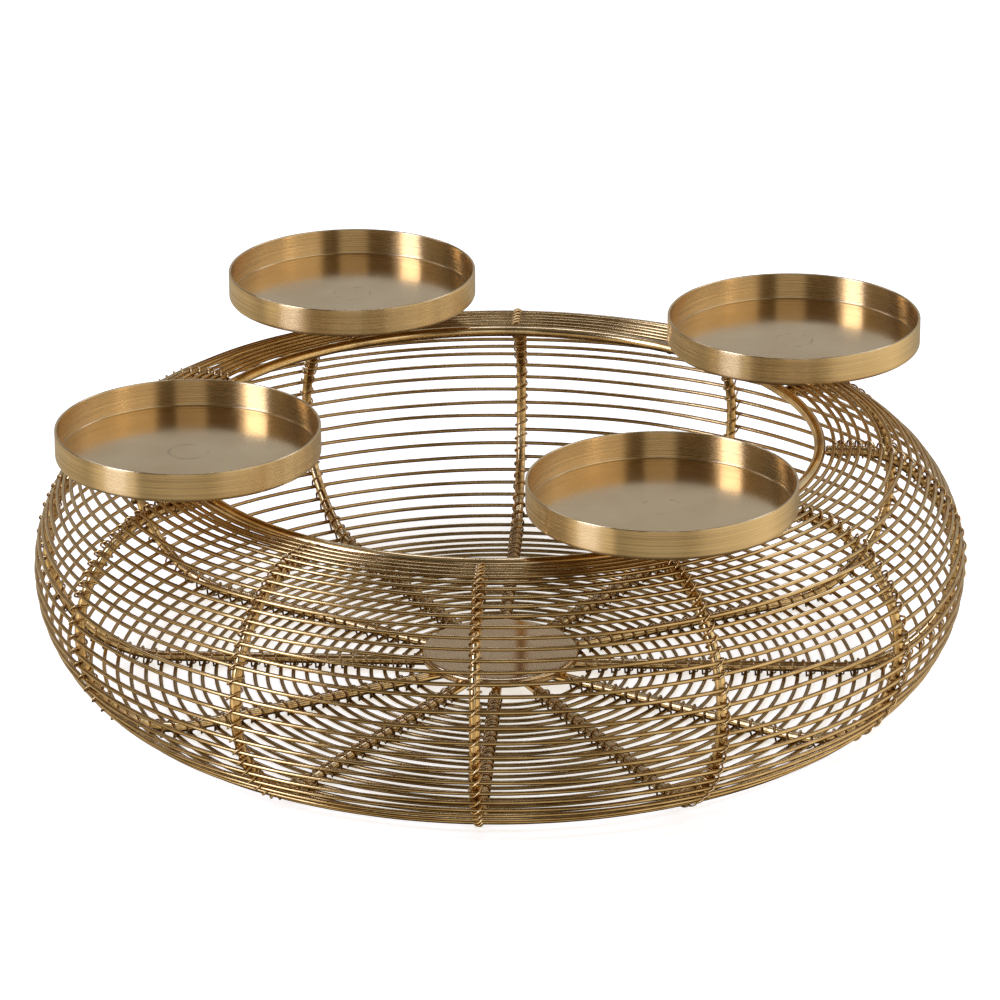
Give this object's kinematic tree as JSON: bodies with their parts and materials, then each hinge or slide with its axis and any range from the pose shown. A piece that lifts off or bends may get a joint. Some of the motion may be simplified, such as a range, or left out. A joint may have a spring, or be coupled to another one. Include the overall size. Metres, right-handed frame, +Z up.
{
  "type": "advent candle holder",
  "caption": "Wreath-shaped wire bowl of gold metal rings lashed to bent ribs, carrying round pillar candle trays on short stems above its open top.",
  "frame": {"origin": "on the table, under the middle of the bowl", "axes": "+Z up along the bowl's axis, +X and +Y each through the middle of a tray"},
  "size_m": [0.3646, 0.3646, 0.1267],
  "materials": {
    "rod": "antique gold plating on iron rod",
    "ring_wire": "satin gold plating on iron wire",
    "binding_wire": "gold plating, darker in the wraps",
    "tray_sheet": "brushed gold-plated sheet, turned lines",
    "disc_sheet": "smooth polished gold-plated sheet"
  },
  "bodies": {
    "root": {"base_disc": "disc_sheet", "base_rings_inner": "ring_wire", "base_rings_middle": "ring_wire", "base_rings_outer": "ring_wire", "candle_tray_1": "tray_sheet", "candle_tray_2": "tray_sheet", "candle_tray_3": "tray_sheet", "candle_tray_4": "tray_sheet", "opening_ring": "rod", "rib_01": "rod", "rib_02": "rod", "rib_03": "rod", "rib_04": "rod", "rib_05": "rod", "rib_06": "rod", "rib_07": "rod", "rib_08": "rod", "rib_09": "rod", "rib_10": "rod", "rib_11": "rod", "rib_12": "rod", "rib_lashings_1": "binding_wire", "rib_lashings_2": "binding_wire", "rib_lashings_3": "binding_wire", "rib_lashings_4": "binding_wire", "shoulder_ring_01": "ring_wire", "shoulder_ring_02": "ring_wire", "shoulder_ring_03": "ring_wire", "shoulder_ring_04": "ring_wire", "shoulder_ring_05": "ring_wire", "shoulder_ring_06": "ring_wire", "shoulder_ring_07": "ring_wire", "shoulder_ring_08": "ring_wire", "shoulder_ring_09": "ring_wire", "shoulder_ring_10": "ring_wire", "shoulder_ring_11": "ring_wire", "shoulder_ring_12": "ring_wire", "shoulder_ring_13": "ring_wire", "shoulder_ring_14": "ring_wire", "shoulder_ring_15": "ring_wire", "shoulder_ring_16": "ring_wire", "side_ring_01": "ring_wire", "side_ring_02": "ring_wire", "side_ring_03": "ring_wire", "side_ring_04": "ring_wire", "side_ring_05": "ring_wire", "side_ring_06": "ring_wire", "side_ring_07": "ring_wire", "side_ring_08": "ring_wire", "side_ring_09": "ring_wire", "side_ring_10": "ring_wire", "side_ring_11": "ring_wire", "tray_stem_1": "rod", "tray_stem_2": "rod", "tray_stem_3": "rod", "tray_stem_4": "rod"}
  },
  "joints": []
}
